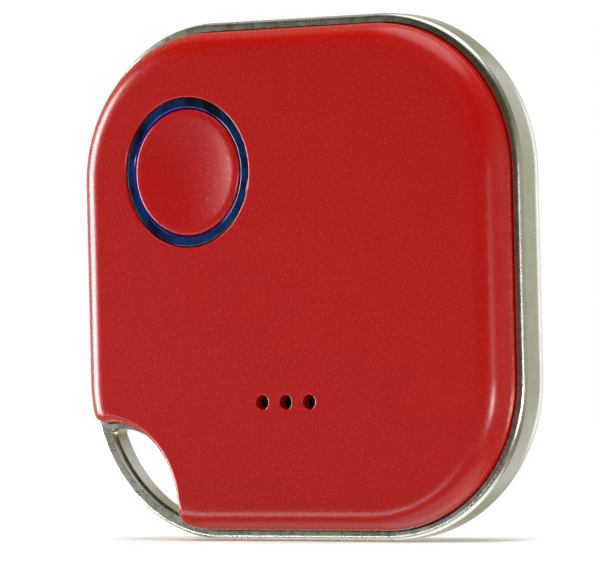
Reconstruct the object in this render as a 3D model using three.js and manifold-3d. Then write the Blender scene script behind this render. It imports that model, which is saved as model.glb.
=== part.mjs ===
// A square Bluetooth tracker tag: a thin plastic puck with one lit push button on its face,
// three sound holes and a key loop in one corner, powered by a coin cell behind a snap-in back.
//
// The pieces are laid out lying down: x to the right, y up the face, z from the back (z = 0)
// to the face. The last lines of the file stand the tag up, so that its face looks along -Y.
// All sizes are in millimetres.

import * as THREE from "three";
import { mergeVertices } from "three/addons/utils/BufferGeometryUtils.js";
import Module from "manifold-3d";

const wasm = await Module();
wasm.setup();

// ---------------------------------------------------------------- driving dimensions

// the frame, which is the widest outline
const FRAME_HALF = 18; // half the width and half the height of the tag
const FRAME_CORNER = 11.05; // radius of the frame's corners
const FRAME_BACK_R = 2.0; // round-over from the side wall to the back
const FRAME_FRONT_R = 0.35; // small round on the frame's front edge
const FRAME_LIP = 0.69; // width of the frame that shows round the front cover
const FRAME_LEDGE = 0.5; // ledge inside the frame, behind the edge of the back cover

// the front cover
const FACE_WALL = 0.8; // thickness of the front wall
const COVER_WALL = 0.86; // thickness of the side wall
const COVER_ABOVE_SEAM = 2.15; // how far the face stands in front of the frame
const COVER_ROUND_IN = 1.9; // round-over of the face, measured along the face
const BITE_ROUND_IN = 0.7; // the same along the cut-out for the key loop
const COVER_ROUND_DEEP = 1.6; // round-over of the face, measured down the side
const COVER_CUSP_R = 0.75; // rounding where the corner cut-out meets the outline
const SKIRT_DEPTH = 1.35; // how far the cover reaches down inside the frame

// the key loop in the lower left corner
const LOOP_CUTOUT_R = 5.9; // radius of the round cut-out in the cover
const LOOP_CENTRE_IN = 2.35; // the cut-out's centre, in from the left side and up from the lower
const LOOP_BAR = 0.85; // width of the bar that closes the loop
const LOOP_BAR_DEPTH = 2.0; // depth of the bar, front to back
const LOOP_LIP = 0.45; // strip of frame left between the cover and the hole
const LOOP_TIP_R = 0.35; // rounding at the two ends of the hole
const LOOP_GROOVE = 0.15; // depth of the groove along the inside of the bar
const LOOP_GROOVE_TOP = 0.12; // the groove starts this far behind the bar's front
const LOOP_GROOVE_WIDTH = 0.7; // width of the groove

// the back cover
const LID_WALL = 0.7; // thickness of the plate
const LID_BORDER = 2.6; // width of the frame that shows round the plate
const LID_SKIRT_HEIGHT = 1.2; // height of the rim inside the plate
const LID_SKIRT_WALL = 0.7; // thickness of that rim
const LID_SKIRT_INSET = 0.3; // the rim stands this far inside the plate's edge
const LID_EDGE = 0.2; // chamfer on the plate's outer edge
const PRY_SLOT_WIDTH = 6; // fingernail or coin slot in the lower edge
const PRY_SLOT_DEPTH = 0.45; // how far the slot goes into the edge
const RIB_LENGTH = 4; // snap ribs on the rim, one to a side
const RIB_HEIGHT = 0.3;

// the coin cell, type 2032
const CELL_R = 10;
const CELL_THICK = 3.2;
const CELL_SHOULDER = 1.3; // step from the can's side to the smaller, negative end
const CELL_CAP_RISE = 0.3; // how far that end stands above the can's rim
const CELL_SEAL = 0.3; // width of the seal between can and cap

// the stack from the back cover to the face
const CONTACT_SPACE = 0.3; // between the cell and the board
const BOARD_THICK = 0.5;
const SWITCH_SPACE = 0.45; // between the board and the front wall

// the button and its light ring
const BUTTON_FROM_SIDE = 10.14; // centre, in from the left side
const BUTTON_FROM_TOP = 10.4; // centre, down from the top
const BUTTON_R = 4.39;
const BUTTON_EDGE_R = 0.2; // small round on the button's edge
const BUTTON_DISH = 0.4; // depth of the finger dish in the button
const BUTTON_RIM = 0.3; // flat rim round the dish
const BUTTON_FLANGE = 0.5; // collar that stops the button from falling out
const BUTTON_FLANGE_THICK = 0.22;
const BUTTON_SINK = 0.05; // the button sits this far below the face
const BUTTON_PLATE = 0.6; // thickness of the button's disc
const BUTTON_TRAVEL = 0.22;
const RING_WIDTH = 0.78; // visible width of the light ring with its gap
const RING_SINK = 0.12; // the ring sits this far below the face
const RING_FOOT = 0.8; // foot of the ring under the front wall
const RING_FOOT_THICK = 0.13;
const LED_COUNT = 4;
const LED_LENGTH = 1.0;
const LED_WIDTH = 0.5;
const LED_HEIGHT = 0.2;

// the switch under the button
const SWITCH_SIDE = 4.0;
const SWITCH_HEIGHT = 0.33;
const SWITCH_WELL_R = 1.2;
const SWITCH_FLOOR = 0.06;
const PLUNGER_CLEARANCE = 0.2;

// the sounder and its holes
const SOUND_HOLE_R = 0.5;
const SOUND_HOLE_PITCH = 1.94;
const SOUND_HOLES_UP = 9.57; // the row of holes, up from the lower side
const SOUNDER_BELOW_HOLES = 2.21; // middle of the sounder, down from the row of holes
const SOUNDER_SIDE = 5.0;
const SOUNDER_HEIGHT = 2.0;
const SOUNDER_PORT_R = 0.8;
const SEAL_WIDTH = 0.7;
const SEAL_SLACK = 0.08;

// the board, its posts and the cell holder
const POST_R = 0.75;
const POST_HEAD = 0.35; // melted head: how far it reaches past the post's side
const HOLDER_WALL = 0.8;
const HOLDER_FROM_LID = 0.3;
const NAIL_GAP_WIDTH = 9.6; // gap in the holder for prising the cell out
const CONTACT_THICK = 0.12;
const CONTACT_WIDTH = 3.2;

// clearances
const SHELL_GAP = 0.1; // between the cover, the frame and the back cover
const SLIDE_GAP = 0.1; // round the button
const RING_GAP = 0.05; // round the light ring
const CELL_GAP = 0.2; // round the coin cell in its holder
const BOARD_GAP = 0.24; // from the board's edge to the cover's wall
const SOLDER_GAP = 0.05; // under each component
const TOUCH_GAP = 0.03; // between the contacts and the cell

// how finely curves are cut
const CORNER_STEPS = 10; // steps in a quarter turn of a corner
const ROUND_STEPS = 5; // steps in a round-over
const DISC_STEPS = 48; // steps round the button, the ring and the cell
const PIN_STEPS = 20; // steps round small holes and posts
const PIN_R = 2; // anything thinner than this counts as small

// ---------------------------------------------------------------- sizes that follow

const QUARTER = Math.PI / 2;
const SHORT_ARC = 0.02; // the least that is left of a corner beside the cut-out, in radians

const LID_TOP = LID_WALL;
const CELL_Z = LID_TOP + SOLDER_GAP;
const BOARD_Z = CELL_Z + CELL_THICK + CONTACT_SPACE;
const BOARD_TOP = BOARD_Z + BOARD_THICK;
const WALL_Z = BOARD_TOP + SWITCH_SPACE;
const FACE_Z = WALL_Z + FACE_WALL;
const SEAM_Z = FACE_Z - COVER_ABOVE_SEAM;

const COVER_HALF = FRAME_HALF - FRAME_LIP;
const COVER_CORNER = FRAME_CORNER - FRAME_LIP;
const CORNER_CENTRE = FRAME_HALF - FRAME_CORNER;
const LOOP_CENTRE = new THREE.Vector2(-1, -1).multiplyScalar(FRAME_HALF - LOOP_CENTRE_IN);

const MOUTH_INSET = LID_BORDER - FRAME_LIP; // opening in the frame's back
const LID_INSET = MOUTH_INSET + SHELL_GAP;
const LID_RIM_INSET = LID_INSET + LID_SKIRT_INSET;
const LID_ROOM_INSET = LID_RIM_INSET + LID_SKIRT_WALL;

const BUTTON = new THREE.Vector2(BUTTON_FROM_SIDE - FRAME_HALF, FRAME_HALF - BUTTON_FROM_TOP);
const RING_OUTER = BUTTON_R + RING_WIDTH;
const RING_BORE = BUTTON_R + SLIDE_GAP;
const BUTTON_TOP = FACE_Z - BUTTON_SINK;
const BUTTON_UNDER = BUTTON_TOP - BUTTON_PLATE;

const CELL_CAP_R = CELL_R - CELL_SHOULDER;
const HOLDER_R = CELL_R + CELL_GAP + HOLDER_WALL;
const CELL_CENTRE = new THREE.Vector2(1, 1)
  .multiplyScalar(COVER_HALF - LID_ROOM_INSET - HOLDER_R - BOARD_GAP);
const SOUND_HOLES_Y = SOUND_HOLES_UP - FRAME_HALF;
const SOUNDER = new THREE.Vector2(0, SOUND_HOLES_Y - SOUNDER_BELOW_HOLES);

// ---------------------------------------------------------------- outlines

/** Points along a circle arc from angle `start` to angle `end`, both included. */
function arc(centre, radius, start, end, steps) {
  const points = [];
  for (let step = 0; step <= steps; step += 1) {
    const angle = THREE.MathUtils.lerp(start, end, step / steps);
    const spoke = new THREE.Vector2(Math.cos(angle), Math.sin(angle));
    points.push(spoke.multiplyScalar(radius).add(centre));
  }
  return points;
}

/** The upper of the two points at distance `r1` from `c1` and `r2` from `c2`. */
function crossing(c1, r1, c2, r2) {
  const along = c2.clone().sub(c1);
  const distance = along.length();
  along.normalize();
  const reach = (distance * distance + r1 * r1 - r2 * r2) / (2 * distance);
  const rise = Math.sqrt(r1 * r1 - reach * reach);
  const across = new THREE.Vector2(along.y, -along.x);
  return along.multiplyScalar(reach).add(c1).addScaledVector(across, rise);
}

/** The direction from one point to another, as an angle between 0 and a full turn. */
function bearing(from, to) {
  const angle = to.clone().sub(from).angle();
  return angle < 0 ? angle + 2 * Math.PI : angle;
}

/** The same point mirrored across the diagonal that runs through the key loop. */
function mirrored(point) {
  return new THREE.Vector2(point.y, point.x);
}

const cornerAt = (sx, sy) => new THREE.Vector2(sx, sy).multiplyScalar(CORNER_CENTRE);

/** The frame's full outline, moved inwards by `inset`. */
function frameOutline(inset) {
  const radius = FRAME_CORNER - inset;
  return [
    ...arc(cornerAt(1, -1), radius, -QUARTER, 0, CORNER_STEPS),
    ...arc(cornerAt(1, 1), radius, 0, QUARTER, CORNER_STEPS),
    ...arc(cornerAt(-1, 1), radius, QUARTER, 2 * QUARTER, CORNER_STEPS),
    ...arc(cornerAt(-1, -1), radius, 2 * QUARTER, 3 * QUARTER, CORNER_STEPS),
  ];
}

/** The cover's outline with the round cut-out, its sides and its cut-out moved inwards. */
function coverOutline(inset, cutoutInset = inset) {
  const radius = COVER_CORNER - inset;
  const cutout = LOOP_CUTOUT_R + cutoutInset;
  const middle = cornerAt(-1, -1);
  const cusp = crossing(middle, radius - COVER_CUSP_R, LOOP_CENTRE, cutout + COVER_CUSP_R);
  const leave = bearing(middle, cusp);
  const start = Math.min(2 * QUARTER, leave - SHORT_ARC); // a wide cut-out reaches past the corner
  const enter = bearing(cusp, LOOP_CENTRE);
  const sweep = bearing(LOOP_CENTRE, cusp);
  const flipped = (angle) => 5 * QUARTER - angle;
  return [
    ...arc(cornerAt(1, -1), radius, -QUARTER, 0, CORNER_STEPS),
    ...arc(cornerAt(1, 1), radius, 0, QUARTER, CORNER_STEPS),
    ...arc(cornerAt(-1, 1), radius, QUARTER, 2 * QUARTER, CORNER_STEPS),
    ...arc(middle, radius, start, leave, 3),
    ...arc(cusp, COVER_CUSP_R, leave, enter, 5).slice(1),
    ...arc(LOOP_CENTRE, cutout, sweep, QUARTER - sweep, CORNER_STEPS).slice(1),
    ...arc(mirrored(cusp), COVER_CUSP_R, flipped(enter), flipped(leave), 5).slice(1),
    ...arc(middle, radius, flipped(leave), flipped(start), 3).slice(1),
  ];
}

const LOOP_HOLE_R = LOOP_CUTOUT_R - LOOP_LIP;

/** Where the rounded end of the key loop's hole has its centre; `wider` thins the bar. */
function loopTip(wider) {
  const bar = FRAME_CORNER - LOOP_BAR + wider;
  return crossing(cornerAt(-1, -1), bar - LOOP_TIP_R, LOOP_CENTRE, LOOP_HOLE_R - LOOP_TIP_R);
}

/** The hole of the key loop: a lens between the bar and the round cut-out. */
function loopHole(wider) {
  const middle = cornerAt(-1, -1);
  const tip = loopTip(wider);
  const start = bearing(middle, tip);
  const sweep = bearing(LOOP_CENTRE, tip);
  const flipped = (angle) => 5 * QUARTER - angle;
  const bar = FRAME_CORNER - LOOP_BAR + wider;
  return [
    ...arc(middle, bar, start, flipped(start), CORNER_STEPS),
    ...arc(mirrored(tip), LOOP_TIP_R, flipped(start), 5 * QUARTER - sweep, 5).slice(1),
    ...arc(LOOP_CENTRE, LOOP_HOLE_R, QUARTER - sweep, sweep, CORNER_STEPS).slice(1),
    ...arc(tip, LOOP_TIP_R, sweep, start, 5).slice(1, -1),
  ];
}

/** Everything outside the round cut-out, in the loop's corner. */
function loopCorner() {
  const sweep = bearing(LOOP_CENTRE, loopTip(0));
  const beyond = QUARTER / 2;
  return [
    ...arc(LOOP_CENTRE, LOOP_HOLE_R, QUARTER - sweep - beyond, QUARTER - sweep, 4),
    ...arc(LOOP_CENTRE, LOOP_HOLE_R, QUARTER - sweep, sweep, CORNER_STEPS).slice(1),
    ...arc(LOOP_CENTRE, LOOP_HOLE_R, sweep, sweep + beyond, 4).slice(1),
    LOOP_CENTRE.clone().multiplyScalar(1.5),
  ];
}

// ---------------------------------------------------------------- solids

/** A closed solid through a pile of outlines, each { points, z }, all with as many points. */
function stack(levels) {
  const count = levels[0].points.length;
  const positions = levels.flatMap(({ points, z }) => points.flatMap((p) => [p.x, p.y, z]));
  const faces = [];
  for (let level = 0; level + 1 < levels.length; level += 1) {
    for (let side = 0; side < count; side += 1) {
      const a = level * count + side;
      const b = level * count + ((side + 1) % count);
      faces.push(a, b, b + count, a, b + count, a + count);
    }
  }
  const last = (levels.length - 1) * count;
  for (const [a, b, c] of THREE.ShapeUtils.triangulateShape(levels[0].points, [])) {
    faces.push(a, c, b);
  }
  for (const [a, b, c] of THREE.ShapeUtils.triangulateShape(levels.at(-1).points, [])) {
    faces.push(last + a, last + b, last + c);
  }
  const geometry = new THREE.BufferGeometry();
  geometry.setAttribute("position", new THREE.Float32BufferAttribute(positions, 3));
  geometry.setIndex(faces);
  return geometry;
}

/** An outline pulled straight from z = `low` to z = `high`. */
function prism(points, low, high) {
  return stack([{ points, z: low }, { points, z: high }]);
}

/** A body turned round an axis at `centre`, from [radius, z] pairs listed from bottom to top. */
function turned(profile, centre) {
  const points = profile.map(([radius, z]) => new THREE.Vector2(radius, z));
  const widest = Math.max(...points.map((point) => point.x));
  const geometry = new THREE.LatheGeometry(points, widest < PIN_R ? PIN_STEPS : DISC_STEPS);
  geometry.rotateX(QUARTER);
  geometry.translate(centre.x, centre.y, 0);
  return geometry;
}

/** A round bar or hole from z = `low` to z = `high`. */
function disc(centre, radius, low, high) {
  return turned([[0, low], [radius, low], [radius, high], [0, high]], centre);
}

/** A box with its middle at (x, y), from z = `low` to z = `high`. */
function block(x, y, width, height, low, high) {
  const geometry = new THREE.BoxGeometry(width, height, high - low);
  geometry.translate(x, y, (low + high) / 2);
  return geometry;
}

/** A metal strip whose side view follows the [x, z] centre line, pulled along y. */
function bentStrip(line, thickness, width, y) {
  const middle = line.map(([x, z]) => new THREE.Vector2(x, z));
  const sideways = middle.map((point, index) => {
    const before = middle[Math.max(index - 1, 0)];
    const after = middle[Math.min(index + 1, middle.length - 1)];
    const along = after.clone().sub(before).normalize();
    return new THREE.Vector2(-along.y, along.x).multiplyScalar(thickness / 2);
  });
  const upper = middle.map((point, index) => point.clone().add(sideways[index]));
  const lower = middle.map((point, index) => point.clone().sub(sideways[index]));
  const shape = new THREE.Shape([...lower, ...upper.reverse()]);
  const geometry = new THREE.ExtrudeGeometry(shape, { depth: width, bevelEnabled: false });
  geometry.rotateX(QUARTER);
  geometry.translate(0, y + width / 2, 0);
  return geometry;
}

/** A geometry as a solid that can be cut and joined. */
function solid(geometry) {
  const bare = geometry.clone();
  bare.deleteAttribute("normal");
  bare.deleteAttribute("uv");
  const merged = mergeVertices(bare, 1e-4);
  const vertProperties = new Float32Array(merged.attributes.position.array);
  const triVerts = new Uint32Array(merged.index.array);
  return new wasm.Manifold(new wasm.Mesh({ numProp: 3, vertProperties, triVerts }));
}

/** The first geometry with the second list joined on and the third list cut away. */
function carved(base, joined, cut) {
  let body = solid(base);
  for (const piece of joined) {
    body = body.add(solid(piece));
  }
  for (const piece of cut) {
    body = body.subtract(solid(piece));
  }
  const { vertProperties, triVerts } = body.getMesh();
  const geometry = new THREE.BufferGeometry();
  geometry.setAttribute("position", new THREE.BufferAttribute(vertProperties, 3));
  geometry.setIndex(new THREE.BufferAttribute(triVerts, 1));
  return geometry;
}

/** The levels of a quarter round, as [inset, z], from its edge (`z0`) to its flat (`z1`). */
function quarterRound(inset, across, z0, z1) {
  const levels = [];
  for (let step = 0; step <= ROUND_STEPS; step += 1) {
    const angle = (QUARTER * step) / ROUND_STEPS;
    levels.push([inset + across * (1 - Math.cos(angle)), z0 + (z1 - z0) * Math.sin(angle)]);
  }
  return levels;
}

/** Outlines for stack() from [inset, z] pairs. */
function outlines(outline, pairs) {
  return pairs.map(([inset, z]) => ({ points: outline(inset), z }));
}

// ---------------------------------------------------------------- materials

const look = (color, roughness, metalness) =>
  new THREE.MeshStandardMaterial({ color, roughness, metalness });

const RED_PLASTIC = look(0xb3201c, 0.45, 0);
const SATIN_PLATE = look(0xa3a391, 0.35, 1);
const WHITE_PLASTIC = look(0xe4e2da, 0.5, 0);
const BLUE_LENS = look(0x0b2457, 0.12, 0);
const BOARD_GREEN = look(0x14502f, 0.5, 0);
const CHIP_BLACK = look(0x1a1a1c, 0.6, 0);
const STEEL = look(0xc2c4c6, 0.3, 1);
const GOLD_PLATE = look(0xd0a657, 0.3, 1);
const CERAMIC = look(0xb89a74, 0.6, 0);
const FOAM_BLACK = look(0x202020, 0.95, 0);
const NYLON = look(0x3a3a40, 0.6, 0);

const tag = new THREE.Group();

function addPiece(name, geometry, material) {
  const piece = new THREE.Mesh(geometry, material);
  piece.name = name;
  tag.add(piece);
}

// ---------------------------------------------------------------- the shells

// the posts, each [towards the right, up, in from that side, in from that end]
const POSTS = [
  [1, 1, 5.1, 5.1],
  [1, -1, 4.85, 5.8],
  [-1, 1, 4.1, 4.4],
  [-1, -1, 10.1, 3.9],
].map(([sx, sy, inX, inY]) => new THREE.Vector2(sx * (COVER_HALF - inX), sy * (COVER_HALF - inY)));

function soundHoles(low, high) {
  return [-1, 0, 1].map((place) =>
    disc(new THREE.Vector2(place * SOUND_HOLE_PITCH, SOUND_HOLES_Y), SOUND_HOLE_R, low, high));
}

/** The melted post that holds the board: from the front wall, through the board, to a head. */
function postShape(centre) {
  const headZ = BOARD_Z - SOLDER_GAP;
  return turned([
    [0, headZ - POST_HEAD],
    [POST_R, headZ - POST_HEAD],
    [POST_R + POST_HEAD, headZ - POST_HEAD / 2],
    [POST_R + POST_HEAD, headZ],
    [POST_R, headZ],
    [POST_R, WALL_Z + FACE_WALL / 2],
    [0, WALL_Z + FACE_WALL / 2],
  ], centre);
}

/** The rounding between side wall and face: broad along the sides, tight along the cut-out. */
function shoulder() {
  return quarterRound(0, 1, FACE_Z - COVER_ROUND_DEEP, FACE_Z).map(([shift, z]) => (
    { points: coverOutline(COVER_ROUND_IN * shift, BITE_ROUND_IN * shift), z }));
}

function frontCover() {
  const low = SEAM_Z - SKIRT_DEPTH;
  const innerRound = COVER_ROUND_DEEP - FACE_WALL;
  const shell = stack([...outlines(coverOutline, [[0, low]]), ...shoulder()]);
  const room = stack(outlines(coverOutline, [
    [COVER_WALL, low - 1],
    ...quarterRound(COVER_WALL, innerRound, WALL_Z - innerRound, WALL_Z),
  ]));
  const ringHole = disc(BUTTON, RING_OUTER + RING_GAP, WALL_Z - 1, FACE_Z + 1);
  const hollow = carved(shell, [], [room]);
  return carved(hollow, POSTS.map(postShape), [ringHole, ...soundHoles(WALL_Z - 1, FACE_Z + 1)]);
}

function frame() {
  const backRound = quarterRound(0, FRAME_BACK_R, FRAME_BACK_R, 0).reverse();
  const frontRound = quarterRound(0, FRAME_FRONT_R, SEAM_Z - FRAME_FRONT_R, SEAM_Z);
  const body = stack(outlines(frameOutline, [...backRound, ...frontRound]));
  const bendAcross = MOUTH_INSET - FRAME_LEDGE + SHELL_GAP;
  const bendFront = SEAM_Z - SKIRT_DEPTH - SHELL_GAP;
  const bend = quarterRound(-SHELL_GAP, bendAcross, bendFront, LID_TOP).reverse();
  const room = stack(outlines(coverOutline, [...bend, [-SHELL_GAP, SEAM_Z + 1]]));
  const mouth = prism(coverOutline(MOUTH_INSET), -1, LID_TOP + SHELL_GAP);
  const barBack = SEAM_Z - LOOP_BAR_DEPTH;
  const grooveFront = SEAM_Z - LOOP_GROOVE_TOP;
  const groove = prism(loopHole(LOOP_GROOVE), grooveFront - LOOP_GROOVE_WIDTH, grooveFront);
  const hole = prism(loopHole(0), -1, SEAM_Z + 1);
  const corner = prism(loopCorner(), -1, barBack);
  return carved(body, [], [room, mouth, hole, groove, corner]);
}

function backCover() {
  const plate = stack(outlines(coverOutline, [
    [LID_INSET + LID_EDGE, 0],
    [LID_INSET, LID_EDGE],
    [LID_INSET, LID_TOP],
  ]));
  const rimTop = LID_TOP + LID_SKIRT_HEIGHT;
  const rim = carved(
    prism(coverOutline(LID_RIM_INSET), LID_TOP / 2, rimTop),
    [],
    [prism(coverOutline(LID_ROOM_INSET), 0, rimTop + 1)],
  );
  const edge = COVER_HALF - LID_INSET;
  const ribOut = edge - SOLDER_GAP;
  const ribIn = edge - LID_SKIRT_INSET - LID_SKIRT_WALL / 2;
  const ribMiddle = (ribOut + ribIn) / 2;
  const ribDeep = ribOut - ribIn;
  const ribLow = LID_TOP + RIB_HEIGHT;
  const ribs = [1, -1].flatMap((side) => [
    block(side * ribMiddle, 0, ribDeep, RIB_LENGTH, ribLow, ribLow + RIB_HEIGHT),
    block(0, side * ribMiddle, RIB_LENGTH, ribDeep, ribLow, ribLow + RIB_HEIGHT),
  ]);
  const slot = block(0, -edge, PRY_SLOT_WIDTH, 2 * PRY_SLOT_DEPTH, -1, LID_TOP * 0.6);
  return carved(plate, [rim, ...ribs], [slot]);
}

addPiece("front_cover", frontCover(), RED_PLASTIC);
addPiece("frame", frame(), SATIN_PLATE);
addPiece("back_cover", backCover(), WHITE_PLASTIC);

// ---------------------------------------------------------------- the button and its light

const FLANGE_TOP = BUTTON_UNDER - SOLDER_GAP;
const FLANGE_LOW = FLANGE_TOP - BUTTON_FLANGE_THICK;
const FLANGE_R = BUTTON_R + BUTTON_FLANGE;

/** The finger dish as [radius, z], from its rim to its middle: a shallow bowl. */
function dish() {
  const rim = BUTTON_R - BUTTON_EDGE_R - BUTTON_RIM;
  const points = [];
  for (let step = ROUND_STEPS; step >= 0; step -= 1) {
    const share = step / ROUND_STEPS;
    points.push([rim * share, BUTTON_TOP - BUTTON_DISH * (1 - share * share)]);
  }
  return points;
}

function buttonCap() {
  const edge = BUTTON_EDGE_R * 0.3;
  return turned([
    [0, BUTTON_UNDER],
    [BUTTON_R - BUTTON_FLANGE, BUTTON_UNDER],
    [BUTTON_R - BUTTON_FLANGE, FLANGE_LOW],
    [FLANGE_R, FLANGE_LOW],
    [FLANGE_R, FLANGE_TOP],
    [BUTTON_R, FLANGE_TOP],
    [BUTTON_R, BUTTON_TOP - BUTTON_EDGE_R],
    [BUTTON_R - edge, BUTTON_TOP - edge],
    [BUTTON_R - BUTTON_EDGE_R, BUTTON_TOP],
    ...dish(),
  ], BUTTON);
}

function lightRing() {
  const footTop = WALL_Z - RING_GAP;
  const footLow = footTop - RING_FOOT_THICK;
  const shelf = FLANGE_TOP + RING_GAP;
  const stepR = FLANGE_R + SLIDE_GAP;
  const top = FACE_Z - RING_SINK;
  return turned([
    [stepR, footLow],
    [RING_OUTER + RING_FOOT, footLow],
    [RING_OUTER + RING_FOOT, footTop],
    [RING_OUTER, footTop],
    [RING_OUTER, top - BUTTON_EDGE_R / 2],
    [RING_OUTER - BUTTON_EDGE_R / 2, top],
    [RING_BORE + BUTTON_EDGE_R / 2, top],
    [RING_BORE, top - BUTTON_EDGE_R / 2],
    [RING_BORE, shelf],
    [stepR, shelf],
    [stepR, footLow],
  ], BUTTON);
}

const SWITCH_LOW = BOARD_TOP + SOLDER_GAP;

function switchBody() {
  const top = BOARD_TOP + SWITCH_HEIGHT;
  const box = block(BUTTON.x, BUTTON.y, SWITCH_SIDE, SWITCH_SIDE, SWITCH_LOW, top);
  return carved(box, [], [disc(BUTTON, SWITCH_WELL_R, SWITCH_LOW + SWITCH_FLOOR, top + 1)]);
}

function switchPlunger() {
  const low = SWITCH_LOW + SWITCH_FLOOR + TOUCH_GAP + BUTTON_TRAVEL;
  return disc(BUTTON, SWITCH_WELL_R - PLUNGER_CLEARANCE, low, BUTTON_UNDER - SOLDER_GAP);
}

addPiece("button_cap", buttonCap(), RED_PLASTIC);
addPiece("light_ring", lightRing(), BLUE_LENS);
addPiece("switch_body", switchBody(), STEEL);
addPiece("switch_plunger", switchPlunger(), CHIP_BLACK);

const LED_CIRCLE = FLANGE_R + SLIDE_GAP + RING_FOOT / 2;
for (let index = 0; index < LED_COUNT; index += 1) {
  const led = new THREE.BoxGeometry(LED_WIDTH, LED_LENGTH, LED_HEIGHT);
  const angle = ((index + 0.5) / LED_COUNT) * 2 * Math.PI;
  led.translate(LED_CIRCLE, 0, BOARD_TOP + TOUCH_GAP + LED_HEIGHT / 2);
  led.rotateZ(angle);
  led.translate(BUTTON.x, BUTTON.y, 0);
  addPiece(`led_${index + 1}`, led, WHITE_PLASTIC);
}

// ---------------------------------------------------------------- the board

function circuitBoard() {
  const board = prism(coverOutline(COVER_WALL + BOARD_GAP), BOARD_Z, BOARD_TOP);
  const holes = POSTS.map((centre) =>
    disc(centre, POST_R + 1.5 * SHELL_GAP, BOARD_Z - 1, BOARD_TOP + 1));
  const port = disc(SOUNDER, SOUNDER_PORT_R, BOARD_Z - 1, BOARD_TOP + 1);
  return carved(board, [], [...holes, port]);
}

addPiece("circuit_board", circuitBoard(), BOARD_GREEN);

const UNDER_BOARD = BOARD_Z - SOLDER_GAP;
const LEFT = -(COVER_HALF - COVER_WALL - BOARD_GAP);

/** A component soldered to the back of the board. */
function addComponent(name, x, y, width, height, deep, material) {
  addPiece(name, block(x, y, width, height, UNDER_BOARD - deep, UNDER_BOARD), material);
}

addComponent("radio_chip", LEFT + 4.4, -1.9, 5, 5, 0.85, CHIP_BLACK);
addComponent("radio_crystal", LEFT + 4.4, -5.9, 2, 1.6, 0.5, STEEL);
addComponent("chip_antenna", LEFT + 1.6, 6.4, 2, 5, 1.2, CERAMIC);
addComponent("inductor", LEFT + 4.4, 8.2, 1.6, 2, 0.9, CHIP_BLACK);
addComponent("reservoir_capacitor", 6.4, SOUNDER.y - 1.4, 3.5, 2.8, 1.9, CERAMIC);
addComponent("sounder_driver", 9.9, SOUNDER.y - 1.4, 1.3, 2.9, 1.0, CHIP_BLACK);
addComponent("capacitor_1", LEFT + 1.0, -1.0, 0.5, 1.0, 0.5, CERAMIC);
addComponent("capacitor_2", LEFT + 1.0, -2.6, 0.5, 1.0, 0.5, CERAMIC);
addComponent("capacitor_3", LEFT + 4.4, 10.6, 1.0, 0.5, 0.5, CERAMIC);

function sounder() {
  const low = UNDER_BOARD - SOUNDER_HEIGHT;
  const box = block(SOUNDER.x, SOUNDER.y, SOUNDER_SIDE, SOUNDER_SIDE, low, UNDER_BOARD);
  const port = disc(SOUNDER, SOUNDER_PORT_R, low + SOUNDER_HEIGHT / 2, UNDER_BOARD + 1);
  const chamber = disc(SOUNDER, SOUNDER_SIDE * 0.4, low + 0.4, low + SOUNDER_HEIGHT * 0.7);
  return carved(box, [], [port, chamber]);
}

/** The soft frame that leads the sound from the port in the board to the holes in the face. */
function soundSeal() {
  const wide = 2 * SOUND_HOLE_PITCH + 4 * SOUND_HOLE_R;
  const lower = SOUNDER.y - SOUNDER_PORT_R - SOUND_HOLE_R;
  const upper = SOUND_HOLES_Y + 2 * SOUND_HOLE_R;
  const middle = (upper + lower) / 2;
  const tall = upper - lower;
  const low = BOARD_TOP + SEAL_SLACK;
  const high = WALL_Z - SEAL_SLACK;
  const outside = block(0, middle, wide + 2 * SEAL_WIDTH, tall + 2 * SEAL_WIDTH, low, high);
  return carved(outside, [], [block(0, middle, wide, tall, low - 1, high + 1)]);
}

addPiece("sounder", sounder(), CHIP_BLACK);
addPiece("sound_seal", soundSeal(), FOAM_BLACK);

// ---------------------------------------------------------------- the coin cell and its holder

function cellHolder() {
  const low = LID_TOP + HOLDER_FROM_LID;
  const inner = CELL_R + CELL_GAP;
  const ring = turned([
    [inner, low],
    [HOLDER_R, low],
    [HOLDER_R, UNDER_BOARD],
    [inner, UNDER_BOARD],
    [inner, low],
  ], CELL_CENTRE);
  const left = CELL_CENTRE.x - HOLDER_R;
  const right = CELL_CENTRE.x + HOLDER_R;
  const contactGap = block(left, CELL_CENTRE.y, 4, CONTACT_WIDTH + 1, low - 1, BOARD_Z);
  const nailTop = BOARD_Z - CELL_THICK / 2;
  const nailGap = block(right, CELL_CENTRE.y, 4, NAIL_GAP_WIDTH, low - 1, nailTop);
  return carved(ring, [], [contactGap, nailGap]);
}

/** The leaf that presses on the can's side. */
function positiveContact() {
  const side = CELL_CENTRE.x - CELL_R - TOUCH_GAP;
  const foot = UNDER_BOARD - CONTACT_THICK / 2;
  const line = [
    [side - 3.4, foot],
    [side - 1.6, foot],
    [side - 1.2, foot - 0.4],
    [side - CONTACT_THICK, CELL_Z + CELL_THICK * 0.4],
    [side - 0.9, CELL_Z + 0.5],
  ];
  return bentStrip(line, CONTACT_THICK, CONTACT_WIDTH, CELL_CENTRE.y);
}

/** The leaf that presses on the cell's small end. */
function negativeContact() {
  const foot = UNDER_BOARD - CONTACT_THICK / 2;
  const touch = CELL_Z + CELL_THICK + TOUCH_GAP + CONTACT_THICK / 2;
  const x = CELL_CENTRE.x;
  const line = [[x - 7, foot], [x - 5, foot], [x - 1, touch], [x + 1, touch], [x + 3, foot]];
  return bentStrip(line, CONTACT_THICK, CONTACT_WIDTH, CELL_CENTRE.y);
}

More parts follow.
